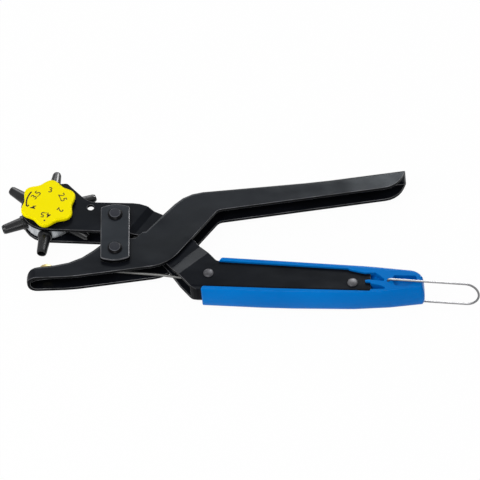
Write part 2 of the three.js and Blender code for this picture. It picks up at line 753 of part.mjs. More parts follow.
// Opening spring: a coil round the lower pivot, one leg to the upper sleeve and one to the handle rivet.
function springPath() {
  const { coilRadius, wireRadius, turns, pitch, stepsPerTurn } = spring;
  const restRadius = pivot.sleeveRadius + runningGap + wireRadius;
  const lean = THREE.MathUtils.radToDeg(Math.asin((coilRadius + restRadius) / pivot.spacing));
  const start = 180 - lean;
  const finish = 270 - spring.legFallDegrees + 360 * turns;
  const steps = Math.round((finish - start) * stepsPerTurn / 360);
  const climb = (pitch * (finish - start)) / 360;
  const touch = shift(upperPivot, heading(-lean), restRadius);
  const tailEnd = shift(touch, heading(90 - lean), spring.tail);
  const path = [[...tailEnd, climb / 2], [...touch, climb / 2]];
  for (let i = 0; i <= steps; i += 1) {
    const done = i / steps;
    const at = shift(lowerPivot, heading(start + (finish - start) * done), coilRadius);
    path.push([...at, climb / 2 - climb * done]);
  }
  const leave = path.at(-1);
  const eyeRadius = handleRivet.sleeveRadius + runningGap + wireRadius;
  const eyeSide = heading(180 - spring.legFallDegrees);
  const bend = shift(rivetPlaces.front, eyeSide, spring.eyeReachShare * eyeRadius);
  const inset = shift(leave, [bend[0] - leave[0], bend[1] - leave[1]], spring.insetShare);
  path.push([...inset, -spring.legInset], [...bend, -spring.legInset]);
  const eyeSteps = Math.round((spring.eyeDegrees * stepsPerTurn) / 360);
  for (let i = 0; i <= eyeSteps; i += 1) {
    const degrees = spring.eyeStartDegrees - (spring.eyeDegrees * i) / eyeSteps;
    path.push([...shift(rivetPlaces.front, heading(degrees), eyeRadius), -spring.legInset]);
  }
  return path;
}

// The least distance between the skins of wire stretches that are not neighbours along the path.
function leastGap(path, radius) {
  const samplesPerRadius = 4;
  const dense = [];
  for (let i = 0; i + 1 < path.length; i += 1) {
    const from = new THREE.Vector3(...path[i]);
    const to = new THREE.Vector3(...path[i + 1]);
    const count = Math.ceil((from.distanceTo(to) * samplesPerRadius) / radius);
    for (let k = 0; k < count; k += 1) dense.push(from.clone().lerp(to, k / count));
  }
  let least = Infinity;
  let travelled = 0;
  const lengths = dense.map((point, i) => {
    travelled += i ? point.distanceTo(dense[i - 1]) : 0;
    return travelled;
  });
  dense.forEach((point, i) => {
    for (let k = i + 1; k < dense.length; k += 1) {
      const apart = lengths[k] - lengths[i] > spring.nearbyShare * radius;
      if (apart) least = Math.min(least, point.distanceTo(dense[k]));
    }
  });
  return least - 2 * radius;
}

// Grip: a moulded sleeve over the lower handle, with the steel showing on both sides.
const gripPlace = ([x, y]) => [lowerHandle.reach + x * grip.block, y * lowerHandle.drop];
const bailPivot = gripPlace(bail.hookShares);

function handleGrip() {
  const { kneeShares, bellyShares, endLowShares, endHighShares, frontShares } = lowerHandle;
  const steelCorners = [
    { ...lowerHandleCorner(kneeShares), part: 'floor' },
    { ...lowerHandleCorner(bellyShares), part: 'floor' },
    { ...lowerHandleCorner(endLowShares), part: 'end' },
    { ...lowerHandleCorner(endHighShares), part: 'roof' },
    { ...lowerHandleCorner(frontShares), part: 'front' },
  ];
  const [knee, belly, end] = steelCorners.slice(0, 3).map(({ at }, i) =>
    shift(at, [0, -1], grip.floorThicknessShares[i] * lowerHandle.drop));
  const roofStart = shift(steelCorners[4].at, [0, 1], grip.roof);
  const roofEnd = shift(steelCorners[3].at, [0, 1], grip.roof);
  const tail = lowerHandle.reach + grip.block;
  const outer = [
    corner(shift(knee, [1, 0], grip.floorStart), grip.roof),
    corner(belly, lowerHandle.drop * bellyShares[2]),
    corner(end, lowerHandle.reach),
    corner([tail, grip.tailLowShare * lowerHandle.drop], grip.tailLowRadius),
    corner([tail, grip.tailHighShare * lowerHandle.drop], grip.tailRadius),
    corner(roofEnd, lowerHandle.reach),
    corner(shift(roofStart, unit(roofStart, roofEnd), grip.roofSetback), grip.roof),
  ];
  const seats = { floor: -grip.clearance, end: -grip.clearance, roof: -grip.clearance, front: -2 * overrun };
  const lips = { floor: grip.lowerLip, end: 0, roof: grip.upperLip, front: -2 * overrun };
  const seat = outlinePoints(shiftedCorners(steelCorners, ({ part }) => seats[part]));
  const window = outlinePoints(shiftedCorners(steelCorners, ({ part }) => lips[part]));
  const crownFront = shift(outer[0].at, unit(belly, outer[0].at), overrun);
  const underside = [corner(crownFront, 0), ...outer.slice(1, 4)];
  const above = [corner([tail, 0], 0), corner([crownFront[0], 0], 0)];
  const crownLine = outlinePoints([...underside, ...above]);
  const crowned = roundedPrism(crownLine, -gripHalf, gripHalf, grip.crownWidth, 4, grip.crown);
  const throughPrism = (points) => prism(points, -gripHalf - overrun, gripHalf + overrun);
  const lipSolids = Object.values(gripLipShares).map((shares) => throughPrism(shares.map(gripPlace)));
  const opening = lipSolids.reduce((solid, lip) => solid.subtract(lip), throughPrism(window));
  let body = roundedPrism(outlinePoints(outer), -gripHalf, gripHalf, grip.edge, 2)
    .intersect(crowned)
    .subtract(prism(seat, -outerLevel - grip.clearance, outerLevel + grip.clearance))
    .subtract(opening);
  const pockets = [
    [gripPocketShares.upper, grip.slotDepth],
    [gripPocketShares.lower, grip.slotDepth],
    [gripPocketShares.bail, grip.pocketDepth],
  ];
  for (const [shares, depth] of pockets) {
    const corners = shares.map((share) => corner(gripPlace(share), grip.edge / 2));
    const cut = prism(outlinePoints(corners), gripHalf - depth, gripHalf + overrun);
    body = body.subtract(cut).subtract(mirrored(cut));
  }
  const hole = round(bailPivot, bail.wireRadius + bail.holeClearance,
    gripHalf - bail.hookDepth - runningGap, gripHalf + overrun, 16);
  return body.subtract(hole).subtract(mirrored(hole));
}

// Bail: a wire loop hooked into both sides of the grip.
function wireBail() {
  const level = gripHalf + bail.sideClearance + bail.wireRadius;
  const fall = heading(-bail.legFallDegrees);
  const place = (along, z) => new THREE.Vector3(...shift(bailPivot, fall, along), z);
  const bent = (from, knee, to) => new THREE.QuadraticBezierCurve3(from, knee, to).getPoints(bail.bendSteps);
  const half = [
    place(0, gripHalf - bail.hookDepth),
    ...bent(place(0, level - bail.hookBend), place(0, level), place(bail.hookBend, level)),
    ...bent(
      place(bail.legLength, level),
      place(bail.legLength + bail.bow, level),
      place(bail.legLength + bail.bow, level * bail.bowShare),
    ),
  ].map(({ x, y, z }) => [x, y, z]);
  const otherHalf = half.map(([x, y, z]) => [x, y, -z]).reverse();
  return wireGeometry([...half, ...otherHalf], bail.wireRadius, bail.sides, [0, 1, 0]);
}

// The whole tool, lifted so that the far rivet heads rest on the bench.
const pliers = new THREE.Group();
const tool = new THREE.Group();
tool.position.z = headTop;
pliers.add(tool);

function addPiece(name, solid, look) {
  const geometry = solid.isBufferGeometry ? solid : geometryFrom(solid);
  const mesh = new THREE.Mesh(geometry, new THREE.MeshStandardMaterial(look));
  mesh.name = name;
  tool.add(mesh);
}

const metal = (color, roughness) => ({ color, roughness, metalness: 0.9 });
const plastic = (color, roughness) => ({ color, roughness, metalness: 0 });

addPiece('near_link_plate', linkPlate(1), metal(colour.linkSteel, 0.45));
addPiece('far_link_plate', linkPlate(-1), metal(colour.linkSteel, 0.45));
addPiece('lower_pivot_rivet', pivotRivet(lowerPivot), metal(colour.rivetSteel, 0.4));
addPiece('upper_pivot_rivet', pivotRivet(upperPivot), metal(colour.rivetSteel, 0.4));
const pivotSleeve = (place) =>
  sleeve(place, pivot.shankRadius + seatGap, pivot.sleeveRadius, outerInside - seatGap, 24);
addPiece('lower_pivot_sleeve', pivotSleeve(lowerPivot), metal(colour.sleeveSteel, 0.5));
addPiece('upper_pivot_sleeve', pivotSleeve(upperPivot), metal(colour.sleeveSteel, 0.5));

const path = springPath();
console.log(`opening spring: least gap to itself ${leastGap(path, spring.wireRadius).toFixed(2)} mm`);
const springWire = wireGeometry(path, spring.wireRadius, spring.sides, [0, 0, 1]);
addPiece('opening_spring', springWire, metal(colour.springSteel, 0.35));

addPiece('lower_jaw_lever', lowerLever(), metal(colour.blackSteel, 0.5));
addPiece('anvil', anvilDisc(), metal(colour.brass, 0.35));

addPiece('upper_jaw_lever', upperLever(), metal(colour.blackSteel, 0.5));
addPiece('handle_grip', handleGrip(), plastic(colour.blue, 0.35));
for (const [name, place] of Object.entries(rivetPlaces)) {
  addPiece(`${name}_handle_rivet`, domedRivet(place), metal(colour.rivetSteel, 0.45));
  addPiece(`${name}_rivet_sleeve`, sleeve(place, handleRivet.shankRadius + seatGap,
    handleRivet.sleeveRadius, outerInside - seatGap, 18), metal(colour.sleeveSteel, 0.5));
}

addPiece('turret_hub', hub(), metal(colour.castMetal, 0.45));
tube.bores.forEach((bore, i) => {
  const name = `punch_tube_${bore.toFixed(1).replace('.', '_')}`;
  addPiece(name, punchTube(bore, tubeDegrees + tubeStep * i), metal(colour.tubeSteel, 0.4));
});
addPiece('turret_retaining_ring', retainingRing(), metal(colour.springSteel, 0.4));
addPiece('detent_ball', detentBall(), metal(colour.wire, 0.2));
addPiece('detent_spring', detentSpring(), metal(colour.springSteel, 0.4));
addPiece('waste_cap', wasteCap(), plastic(colour.yellow, 0.4));
addPiece('wire_bail', wireBail(), metal(colour.wire, 0.25));

export default pliers;
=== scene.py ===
import json
import math

import bmesh
import bpy
from mathutils import Matrix, Vector


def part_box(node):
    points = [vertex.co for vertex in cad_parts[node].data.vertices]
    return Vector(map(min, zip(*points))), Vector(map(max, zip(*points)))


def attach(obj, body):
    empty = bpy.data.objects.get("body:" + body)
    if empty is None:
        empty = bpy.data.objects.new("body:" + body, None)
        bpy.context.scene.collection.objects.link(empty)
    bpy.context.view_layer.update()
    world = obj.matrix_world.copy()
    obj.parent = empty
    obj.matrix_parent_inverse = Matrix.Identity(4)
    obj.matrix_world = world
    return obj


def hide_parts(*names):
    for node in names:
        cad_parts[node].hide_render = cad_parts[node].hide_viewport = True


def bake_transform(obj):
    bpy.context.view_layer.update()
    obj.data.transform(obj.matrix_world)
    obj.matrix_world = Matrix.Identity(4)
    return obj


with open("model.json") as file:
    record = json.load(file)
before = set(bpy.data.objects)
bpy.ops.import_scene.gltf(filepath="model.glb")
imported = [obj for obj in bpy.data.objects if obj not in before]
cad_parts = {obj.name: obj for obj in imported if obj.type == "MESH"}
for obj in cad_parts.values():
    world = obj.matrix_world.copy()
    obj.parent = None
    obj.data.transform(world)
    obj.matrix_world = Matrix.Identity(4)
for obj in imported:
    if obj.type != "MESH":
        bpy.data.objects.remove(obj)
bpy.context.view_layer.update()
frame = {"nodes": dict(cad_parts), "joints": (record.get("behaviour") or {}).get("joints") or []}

mm = 0.001
weld = 1e-6  # m, points closer than this become one
jointPlace = {joint["name"]: Vector(joint.get("pos_m", (0, 0, 0))) for joint in frame["joints"]}
lowerPivot = jointPlace["lower_lever_pivot"]
upperPivot = jointPlace["upper_lever_pivot"]
turretAxle = jointPlace["turret_turn"]
bailHinge = jointPlace["bail_swing"]
print("frame loaded:", len(frame["nodes"]), "nodes")

# objects and node trees, shared by all that follows


def addObject(name, data):
    thing = bpy.data.objects.new(name, data)
    bpy.context.scene.collection.objects.link(thing)
    return thing


def addNode(tree, kind, fed=None, **settings):
    node = tree.nodes.new(kind)
    for key, value in settings.items():
        setattr(node, key, value)
    for label, source in (fed or {}).items():
        if isinstance(source, bpy.types.NodeSocket):
            tree.links.new(source, node.inputs[label])
        else:
            node.inputs[label].default_value = source
    return node


def calculate(tree, operation, *values):
    return addNode(tree, "ShaderNodeMath", dict(enumerate(values)), operation=operation).outputs[0]


# camera, floor and light

shot = {
    "right": (0.998, 0.0, -0.060),
    "up": (0.0357, 0.805, 0.592),
    "back": (0.0483, -0.593, 0.8034),
    "across": 73.1,  # mm from the tool's origin to the middle of the picture
    "above": 11.1,
    "middlePlane": 12.5,
    "fieldWidth": 283.7,
    "distance": 6000.0,
    "nearest": 50.0,
    "farthest": 20000.0,
}


def placeCamera():
    right, up, back = (Vector(shot[key]).normalized() for key in ("right", "up", "back"))
    data = bpy.data.cameras.new("photoCamera")
    data.lens = data.sensor_width * shot["distance"] / shot["fieldWidth"]
    data.clip_start, data.clip_end = shot["nearest"] * mm, shot["farthest"] * mm
    camera = addObject("photoCamera", data)
    aim = right * shot["across"] + up * shot["above"] + Vector((0, 0, shot["middlePlane"]))
    turn = Matrix((right, up, back)).transposed().to_4x4()
    camera.matrix_world = Matrix.Translation((aim + back * shot["distance"]) * mm) @ turn
    bpy.context.scene.camera = camera


light = {  # places, aims and sizes in metres
    "skyStrength": 0.6,
    "skySeen": 1.0,
    "lamps": {
        "keyLamp": {
            "place": (-0.45, -0.35, 0.9), "aim": (0.03, 0.03, 0), "size": 0.5, "power": 4.6,
        },
    },
    "cards": {  # seen only as reflections, so they leave the colours alone
        "overheadCard": {
            "place": (0.03, 0.41, 0.275), "aim": (0.05, 0.145, -0.09), "size": 0.35, "power": 1.0,
        },
        "sheenCard": {
            "place": (0.25, 0.36, 0.27), "aim": (0.17, 0.05, 0), "size": 0.24, "power": 4.4,
        },
        "stepCard": {
            "place": (-0.1, 0.45, 0.2), "aim": (0.07, 0, 0), "size": 0.2, "power": 0.6,
        },
        "edgeCard": {
            "place": (0.02, -0.55, 0.42), "aim": (0.05, 0, 0), "size": 0.3, "power": 1.5,
        },
    },
}


def placeLamp(name, values, diffuse):
    place, aim = Vector(values["place"]), Vector(values["aim"])
    data = bpy.data.lights.new(name, "AREA")
    data.shape = "SQUARE"
    data.size = values["size"]
    data.energy = values["power"]
    lamp = addObject(name, data)
    lamp.location = place
    lamp.rotation_euler = (aim - place).to_track_quat("-Z", "Y").to_euler()
    lamp.visible_diffuse = diffuse
    lamp.visible_camera = False


def backdropFactor(tree, strength):  # the backdrop shows itself to the camera, metal and glass
    path = addNode(tree, "ShaderNodeLightPath").outputs
    direct = calculate(tree, "MAXIMUM", path["Is Camera Ray"], path["Is Glossy Ray"])
    through = calculate(tree, "MAXIMUM", direct, path["Is Transmission Ray"])
    return calculate(tree, "MULTIPLY", through, strength)


def lightScene():
    world = bpy.data.worlds.new("paleRoom")
    world.use_nodes = True
    tree = world.node_tree
    white = (1, 1, 1, 1)
    sky = tree.nodes["Background"]
    sky.inputs["Color"].default_value = white
    sky.inputs["Strength"].default_value = light["skyStrength"]
    seen = addNode(tree, "ShaderNodeBackground", {"Color": white})
    either = addNode(tree, "ShaderNodeMixShader", {
        0: backdropFactor(tree, light["skySeen"]), 1: sky.outputs[0], 2: seen.outputs[0],
    })
    tree.links.new(either.outputs[0], tree.nodes["World Output"].inputs[0])
    bpy.context.scene.world = world
    for group, diffuse in (("lamps", True), ("cards", False)):
        for name, values in light[group].items():
            placeLamp(name, values, diffuse)


floorPaper = {"reach": 3.0, "shade": 0.9, "roughness": 0.9, "glow": 0.97}  # reach in metres


def layFloor():
    reach, shade = floorPaper["reach"], floorPaper["shade"]
    mesh = bpy.data.meshes.new("benchTop")
    corners = [(-reach, -reach, 0), (reach, -reach, 0), (reach, reach, 0), (-reach, reach, 0)]
    mesh.from_pydata(corners, [], [(0, 1, 2, 3)])
    floor = addObject("benchTop", mesh)
    paper = bpy.data.materials.new("whitePaper")
    paper.use_nodes = True
    tree = paper.node_tree
    shader = tree.nodes["Principled BSDF"]
    shader.inputs["Base Color"].default_value = (shade, shade, shade, 1)
    shader.inputs["Roughness"].default_value = floorPaper["roughness"]
    glow = addNode(tree, "ShaderNodeEmission")
    both = addNode(tree, "ShaderNodeMixShader", {
        0: backdropFactor(tree, floorPaper["glow"]), 1: shader.outputs[0], 2: glow.outputs[0],
    })
    tree.links.new(both.outputs[0], tree.nodes["Material Output"].inputs[0])
    mesh.materials.append(paper)


bpy.context.scene.view_settings.view_transform = "Standard"
placeCamera()
lightScene()
layFloor()
print("camera, floor and light placed")

# finishes: linear colours, bump depths in mm

pivotRivet = {  # stands here because the painted shade and highlight on the pivot rivet heads follow the height of the head
    "shank": 3.2, "head": 4.3, "crown": 3.05, "top": 12.5, "under": 10.7, "slope": 1.3,
    "soft": 0.3, "underSoft": 0.1, "rim": 0.3, "segments": 64,
}

coated = {
    "metallic": 0.0, "tint": (0.84, 0.93, 1, 1), "roughness": (0.2, 0.28),
    "shadeNoise": {"scale": 38, "detail": 5, "stretch": (1, 2.2, 1)},
    "roughNoise": {"scale": 120, "detail": 6, "stretch": (0.5, 3, 1)},
    "bumps": [
        {"scale": 42, "detail": 1.5, "depth": 1.4, "strength": 0.6},  # sheet is never quite flat
        {"scale": 1900, "detail": 3, "depth": 0.03, "strength": 0.22},
    ],
}
turned = {
    "shadeNoise": {"scale": 260, "detail": 5}, "roughNoise": {"scale": 900, "detail": 4},
    "bumps": [{"scale": 2600, "detail": 3, "depth": 0.02, "strength": 0.25}],
}
moulded = {
    "metallic": 0.0,
    "shadeNoise": {"scale": 22, "detail": 3}, "roughNoise": {"scale": 180, "detail": 4},
}
drawn = {
    "metallic": 1.0,
    "shadeNoise": {"scale": 60, "detail": 3}, "roughNoise": {"scale": 300, "detail": 3},
}
finishLooks = {
    "upperHandleCoat": {
        **coated, "dark": (0.0035, 0.004, 0.0055), "pale": (0.007, 0.008, 0.011),
        "turn": 0.1, "specular": 0.085,
    },
    # the same coat as upperHandleCoat with half its specular: a shaded copy that stands in for the
    # shade on the upper jaw lever
    "lowerHandleCoat": {
        **coated, "dark": (0.0035, 0.004, 0.0055), "pale": (0.007, 0.008, 0.011),
        "turn": -0.2, "specular": 0.042,
    },
    "linkSteel": {
        **coated, "dark": (0.013, 0.0155, 0.0195), "pale": (0.024, 0.0275, 0.033),
        "turn": 1.5, "specular": 0.08,
    },
    # pale bevels: partly edge wear, partly a painted highlight along every soft edge of the levers
    # and links
    "wornEdgeHighlight": {
        "dark": (0.03, 0.031, 0.033), "pale": (0.15, 0.15, 0.16), "spread": (0.35, 0.75),
        "metallic": 0.3, "specular": 0.2, "roughness": (0.3, 0.5),
        "shadeNoise": {"scale": 90, "detail": 6}, "roughNoise": {"scale": 400, "detail": 3},
    },
    # cut walls darker than the faces: painted shade on the upright sheared walls
    "cutWallShade": {
        **coated, "dark": (0.0018, 0.002, 0.0025), "pale": (0.004, 0.0042, 0.005),
        "specular": 0.03,
    },
    "headSteelPaintedShade": {  # painted shade on the flank, a painted highlight at the rim and a darker top, placed by height
        **turned, "dark": (0.003, 0.003, 0.004), "pale": (0.028, 0.030, 0.038),
        "spread": (0.1, 0.95), "rim": (0.13, 0.135, 0.15), "rimHighlightSpread": (0.35, 0.8),
        "metallic": 0.0, "specular": 0.06, "roughness": (0.22, 0.36),
    },
    "domeSteel": {
        **turned, "dark": (0.045, 0.045, 0.05), "pale": (0.12, 0.12, 0.128),
        "metallic": 0.3, "specular": 0.08, "roughness": (0.42, 0.58),
    },
    "tubeSteel": {
        **turned, "dark": (0.004, 0.004, 0.005), "pale": (0.012, 0.013, 0.015),
        "metallic": 0.0, "specular": 0.28, "roughness": (0.2, 0.32),
    },
    "castMetal": {
        "dark": (0.26, 0.28, 0.30), "pale": (0.66, 0.68, 0.70),
        "metallic": 0.85, "roughness": (0.38, 0.62),
        "shadeNoise": {"scale": 330, "detail": 8, "stretch": (1, 1, 0.35)},
        "roughNoise": {"scale": 700, "detail": 5},
        "bumps": [{"scale": 800, "detail": 8, "depth": 0.12, "strength": 0.6}],
    },
    "brass": {
        **turned, "dark": (0.36, 0.29, 0.13), "pale": (0.50, 0.44, 0.25),
        "metallic": 1.0, "specular": 0.5, "roughness": (0.6, 0.72),
    },
    "yellowPlastic": {
        **moulded, "dark": (0.95, 0.81, 0.0), "pale": (1.0, 0.87, 0.0),
        "specular": 0.015, "roughness": (0.3, 0.42),
        "bumps": [{"scale": 1500, "detail": 2, "depth": 0.02, "strength": 0.18}],
    },
    "bluePlastic": {
        **moulded, "dark": (0.0, 0.152, 0.53), "pale": (0.0, 0.187, 0.62),
        "specular": 0.03, "roughness": (0.16, 0.24),
        "bumps": [{"scale": 1100, "detail": 2, "depth": 0.02, "strength": 0.18}],
    },
    "bailWire": {
        **drawn, "dark": (0.19, 0.19, 0.195), "pale": (0.25, 0.25, 0.255),
        "roughness": (0.5, 0.56),
    },
    "springWire": {
        **drawn, "dark": (0.07, 0.07, 0.07), "pale": (0.17, 0.17, 0.165),
        "roughness": (0.44, 0.52),
    },
    "sleeveSteel": {
        **turned, "dark": (0.07, 0.07, 0.07), "pale": (0.17, 0.17, 0.165),
        "metallic": 0.9, "specular": 0.5, "roughness": (0.3, 0.5),
    },
    "printedInk": {
        "dark": (0.035, 0.018, 0.004), "pale": (0.07, 0.035, 0.008), "spread": (0.4, 0.9),
        "metallic": 0.0, "specular": 0.1, "evenRoughness": 0.55,
        "shadeNoise": {"scale": 900, "detail": 3},
    },
}
usualSpread = (0.3, 0.7)  # the share of the noise at which the dark ends and the pale begins
plainSockets = {
    "metallic": "Metallic", "specular": "Specular IOR Level", "tint": "Specular Tint",
    "evenRoughness": "Roughness",
}


def speckle(tree, noise, turn=0.0):
    where = addNode(tree, "ShaderNodeTexCoord")
    fit = addNode(tree, "ShaderNodeMapping", {
        "Vector": where.outputs["Object"], "Rotation": (0, 0, turn),
        "Scale": noise.get("stretch", (1, 1, 1)),
    })
    grain = addNode(tree, "ShaderNodeTexNoise", {
        "Vector": fit.outputs["Vector"], "Scale": noise["scale"], "Detail": noise["detail"],
    })
    return grain.outputs["Fac"]


def headHeight(tree):  # 0 below the rim of a pivot rivet's head, 1 at its flat top, at both ends; it places the painted shade and highlight
    where = addNode(tree, "ShaderNodeTexCoord")
    parts = addNode(tree, "ShaderNodeSeparateXYZ", {0: where.outputs["Object"]})
    above = calculate(tree, "SUBTRACT", parts.outputs["Z"], lowerPivot.z)
    top, rim = pivotRivet["top"], pivotRivet["rim"]
    height = addNode(tree, "ShaderNodeMapRange", {
        "Value": calculate(tree, "ABSOLUTE", above),
        "From Min": (top - rim) * mm, "From Max": top * mm,
    })
    return height.outputs["Result"]


def shadeSurface(tree, shader, look):
    # pivot rivet heads: painted shade on the flank and a painted highlight at the rim, placed by
    # height
    if "rim" in look:
        fac = headHeight(tree)
    else:
        fac = speckle(tree, look["shadeNoise"], look.get("turn", 0.0))
    ramp = addNode(tree, "ShaderNodeValToRGB", {"Fac": fac})
    steps = ramp.color_ramp.elements
    for step, position, key in zip(steps, look.get("spread", usualSpread), ("dark", "pale")):
        step.position = position
        step.color = (*look[key], 1)
    # the rim colour is a painted highlight
    for position in look.get("rimHighlightSpread", ()):
        steps.new(position).color = (*look["rim"], 1)
    tree.links.new(ramp.outputs["Color"], shader.inputs["Base Color"])


def roughenSurface(tree, shader, look):
    smooth, rough = look["roughness"]
    spread = addNode(tree, "ShaderNodeMapRange", {
        "Value": speckle(tree, look["roughNoise"], look.get("turn", 0.0)),
        "To Min": smooth, "To Max": rough,
    })
    tree.links.new(spread.outputs["Result"], shader.inputs["Roughness"])


def bumpSurface(tree, shader, look):
    normal = {}
    for bump in look["bumps"]:
        relief = addNode(tree, "ShaderNodeBump", {
            "Height": speckle(tree, bump), "Distance": bump["depth"] * mm,
            "Strength": bump["strength"], **normal,
        })
        normal = {"Normal": relief.outputs["Normal"]}
    tree.links.new(normal["Normal"], shader.inputs["Normal"])


def mixFinish(name, look):
    finish = bpy.data.materials.new(name)
    finish.use_nodes = True
    tree = finish.node_tree
    shader = tree.nodes["Principled BSDF"]
    for key, label in plainSockets.items():
        if key in look:
            shader.inputs[label].default_value = look[key]
    shadeSurface(tree, shader, look)
    if "roughness" in look:
        roughenSurface(tree, shader, look)
    if "bumps" in look:
        bumpSurface(tree, shader, look)
    return finish


finishes = {name: mixFinish(name, look) for name, look in finishLooks.items()}
print("finishes mixed:", len(finishes))

# shared shaping


def startTree(name, inputs):
    tree = bpy.data.node_groups.new(name, "GeometryNodeTree")
    for label, kind in {"Geometry": "Geometry", **inputs}.items():
        tree.interface.new_socket(label, in_out="INPUT", socket_type="NodeSocket" + kind)
    tree.interface.new_socket("Geometry", in_out="OUTPUT", socket_type="NodeSocketGeometry")
    return tree, tree.nodes.new("NodeGroupInput").outputs


def endTree(tree, geometry, finish):
    smooth = addNode(tree, "GeometryNodeSetShadeSmooth", {"Geometry": geometry})
    single = addNode(tree, "GeometryNodeRealizeInstances", {"Geometry": smooth.outputs[0]})
    painted = addNode(tree, "GeometryNodeSetMaterial", {
        "Geometry": single.outputs[0], "Material": finish,
    })
    addNode(tree, "NodeGroupOutput", {0: painted.outputs[0]})


def growPiece(name, tree, points, values):
    mesh = bpy.data.meshes.new(name)
    mesh.from_pydata(points, [(i, i + 1) for i in range(len(points) - 1)], [])
    piece = addObject(name, mesh)
    shape = piece.modifiers.new("shape", "NODES")
    shape.node_group = tree
    for item in tree.interface.items_tree:
        if item.in_out == "INPUT" and item.name in values:
            shape[item.identifier] = values[item.name]
    return piece


def shapedMesh(thing):
    depsgraph = bpy.context.evaluated_depsgraph_get()
    return bpy.data.meshes.new_from_object(thing.evaluated_get(depsgraph))


def settlePiece(piece):
    flat = piece.modifiers.new("evenShade", "WEIGHTED_NORMAL")
    flat.weight = 90  # broad faces lead, so flats stay flat beside their soft edges
    flat.keep_sharp = True
    mesh = shapedMesh(piece)
    piece.modifiers.clear()
    piece.data = mesh
    mesh.name = piece.name
    return piece


def mountPiece(piece, body, slot, *nodes):
    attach(piece, body)
    if nodes:
        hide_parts(*nodes)


edgeLayer, cutShadeLayer = 1, 2  # places of the edge layer (wear and a painted highlight) and the cut-wall layer (painted shade) among such a piece's materials


def softenEdges(piece, width, segments, degrees, edgeWearAndPaintedLight=False):
    bevel = piece.modifiers.new("softEdge", "BEVEL")
    bevel.width = width * mm
    bevel.segments = segments
    bevel.limit_method = "ANGLE"
    bevel.angle_limit = math.radians(degrees)
    bevel.use_clamp_overlap = not edgeWearAndPaintedLight
    bevel.miter_outer = "MITER_ARC"
    # the bevels take the edge layer: wear and a painted highlight
    if edgeWearAndPaintedLight:
        bevel.material = edgeLayer


def pointAt(centre, degrees, radius):
    angle = math.radians(degrees)
    return Vector((centre[0] + radius * math.cos(angle), centre[1] + radius * math.sin(angle)))


def nodeCentre(node):
    return sum(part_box(node), Vector()) / 2


# levers, links, grip and hub: merged copies of their solids with soft edges

sheetWork = {
    "flatDegrees": 0.4,                 # faces as flat to each other as this become one
    "foldDegrees": 7, "foldArea": 12,   # a fold between faces above this many mm² stays crisp
    "cutLean": 0.05, "cutWidth": 1.6,   # a sheared wall stands upright and is narrow
}
dressed = {  # edge and join in mm
    "lowerJawLever": {
        "node": "lower_jaw_lever", "body": "lower_lever", "slot": "lever_steel",
        "finish": "upperHandleCoat", "edge": 0.25, "segments": 2, "degrees": 38,
        "join": 0.1, "folded": True, "edgeWearAndPaintedLight": True,
    },
    "upperJawLever": {
        "node": "upper_jaw_lever", "body": "upper_lever", "slot": "lever_steel",
        "finish": "lowerHandleCoat", "edge": 0.25, "segments": 2, "degrees": 38,
        "join": 0.1, "folded": True, "edgeWearAndPaintedLight": True,
    },
    "nearLinkPlate": {
        "node": "near_link_plate", "body": "link", "slot": "link_steel",
        "finish": "linkSteel", "edge": 0.2, "segments": 3, "degrees": 25,
        "join": 0.001, "folded": False, "edgeWearAndPaintedLight": True,
    },
    "farLinkPlate": {
        "node": "far_link_plate", "body": "link", "slot": "link_steel",
        "finish": "linkSteel", "edge": 0.2, "segments": 3, "degrees": 25,
        "join": 0.001, "folded": False, "edgeWearAndPaintedLight": True,
    },
    "handleGrip": {
        "node": "handle_grip", "body": "upper_lever", "slot": "grip_blue",
        "finish": "bluePlastic", "edge": 0.3, "segments": 3, "degrees": 38,
        "join": 0.001, "folded": False, "edgeWearAndPaintedLight": False,
    },
    "turretHub": {
        "node": "turret_hub", "body": "turret", "slot": "hub_metal",
        "finish": "castMetal", "edge": 0.25, "segments": 2, "degrees": 38,
        "join": 0.001, "folded": False, "edgeWearAndPaintedLight": False,
    },
}


def keepFolds(work):
    limit, area = math.radians(sheetWork["foldDegrees"]), sheetWork["foldArea"] * mm * mm
    for edge in work.edges:
        sides = edge.link_faces
        broad = len(sides) == 2 and min(face.calc_area() for face in sides) > area
        if broad and edge.calc_face_angle() > limit:
            edge.smooth = False


# upright narrow walls get the darker cut-wall layer, a painted shade
def markCuts(work):
    for face in work.faces:
        width = face.calc_area() / sum(edge.calc_length() for edge in face.edges)
        if abs(face.normal.z) < sheetWork["cutLean"] and width < sheetWork["cutWidth"] * mm:
            face.material_index = cutShadeLayer


def closeBevels(piece):
    mesh = shapedMesh(piece)
    piece.modifiers.clear()
    work = bmesh.new()
    work.from_mesh(mesh)
    bmesh.ops.remove_doubles(work, verts=work.verts, dist=2 * weld)
    bmesh.ops.dissolve_degenerate(work, edges=work.edges, dist=weld)
    work.to_mesh(mesh)
    work.free()
    piece.data = mesh


def dressNode(name, look):
    work = bmesh.new()
    work.from_mesh(frame["nodes"][look["node"]].data)
    bmesh.ops.remove_doubles(work, verts=work.verts, dist=look["join"] * mm)
    bmesh.ops.dissolve_limit(work, angle_limit=math.radians(sheetWork["flatDegrees"]),
                             verts=work.verts, edges=work.edges)
    for face in work.faces:
        face.smooth = True
    if look["folded"]:
        keepFolds(work)
    if look["edgeWearAndPaintedLight"]:
        markCuts(work)
    mesh = bpy.data.meshes.new(name)
    work.to_mesh(mesh)
    work.free()
    piece = addObject(name, mesh)
    layers = [look["finish"], "wornEdgeHighlight", "cutWallShade"] if look["edgeWearAndPaintedLight"] else [look["finish"]]
    for layer in layers:
        mesh.materials.append(finishes[layer])
    softenEdges(piece, look["edge"], look["segments"], look["degrees"], look["edgeWearAndPaintedLight"])
    closeBevels(piece)
    settlePiece(piece)
    mountPiece(piece, look["body"], look["slot"], look["node"])


for name, look in dressed.items():
    dressNode(name, look)
print("levers, links, grip and hub dressed")

# turned pieces: rivets, tubes, anvil and the cap's spigot
# their outlines are corners of radius, height and fillet, in mm

railRadius = 10.0  # of the circle that carries an outline round


